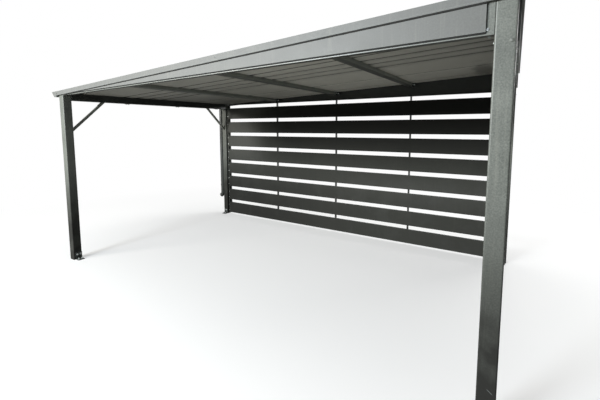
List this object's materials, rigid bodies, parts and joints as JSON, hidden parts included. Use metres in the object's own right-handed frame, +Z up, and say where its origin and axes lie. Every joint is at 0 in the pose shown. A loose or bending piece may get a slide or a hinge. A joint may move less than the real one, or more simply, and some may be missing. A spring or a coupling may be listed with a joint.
{
  "type": "open steel carport",
  "caption": "Open steel carport: single-slope roof on square posts, knee braces at both ends, gutter at the low end and horizontal boards along the back.",
  "frame": {"origin": "on the floor, below the middle of the roof's outline", "axes": "+X along the long side towards the high end of the roof, +Y towards the boarded back, +Z up"},
  "size_m": [5, 3, 2.4109],
  "materials": {
    "frame_steel": "satin anthracite powder coat on steel tube and folded channel",
    "sheet_steel": "satin grey coated steel sheet, facings, trims and gutter",
    "board_steel": "matt anthracite coated steel boards",
    "roof_steel": "matt grey coated trapezoidal sheet",
    "drain_steel": "satin anthracite coated downpipe and brackets",
    "foot_steel": "satin anthracite powder coat on bent plate"
  },
  "bodies": {
    "root": {"back_beam": "frame_steel", "back_edge_trim": "sheet_steel", "brace_left_back": "frame_steel", "brace_left_front": "frame_steel", "brace_right_back": "frame_steel", "brace_right_front": "frame_steel", "downpipe": "drain_steel", "foot_back_left": "foot_steel", "foot_back_right": "foot_steel", "foot_front_left": "foot_steel", "foot_front_right": "foot_steel", "front_beam": "frame_steel", "front_edge_trim": "sheet_steel", "front_facing": "sheet_steel", "gutter_bracket_1": "drain_steel", "gutter_bracket_2": "drain_steel", "gutter_bracket_3": "drain_steel", "gutter_end_back": "sheet_steel", "gutter_end_front": "sheet_steel", "gutter_floor": "sheet_steel", "gutter_inner_wall": "sheet_steel", "gutter_outer_wall": "sheet_steel", "left_beam": "frame_steel", "pipe_clip": "drain_steel", "post_back_left": "frame_steel", "post_back_right": "frame_steel", "post_front_left": "frame_steel", "post_front_right": "frame_steel", "rafter_1": "frame_steel", "rafter_2": "frame_steel", "rafter_3": "frame_steel", "right_beam": "frame_steel", "right_edge_trim": "sheet_steel", "right_facing": "sheet_steel", "roof_sheet_back": "roof_steel", "roof_sheet_front": "roof_steel", "wall_board_1": "board_steel", "wall_board_2": "board_steel", "wall_board_3": "board_steel", "wall_board_4": "board_steel", "wall_board_5": "board_steel", "wall_board_6": "board_steel", "wall_board_7": "board_steel", "wall_board_8": "board_steel", "wall_edge_left": "frame_steel", "wall_edge_right": "frame_steel", "wall_upright_1": "frame_steel", "wall_upright_2": "frame_steel", "wall_upright_3": "frame_steel"}
  },
  "joints": []
}
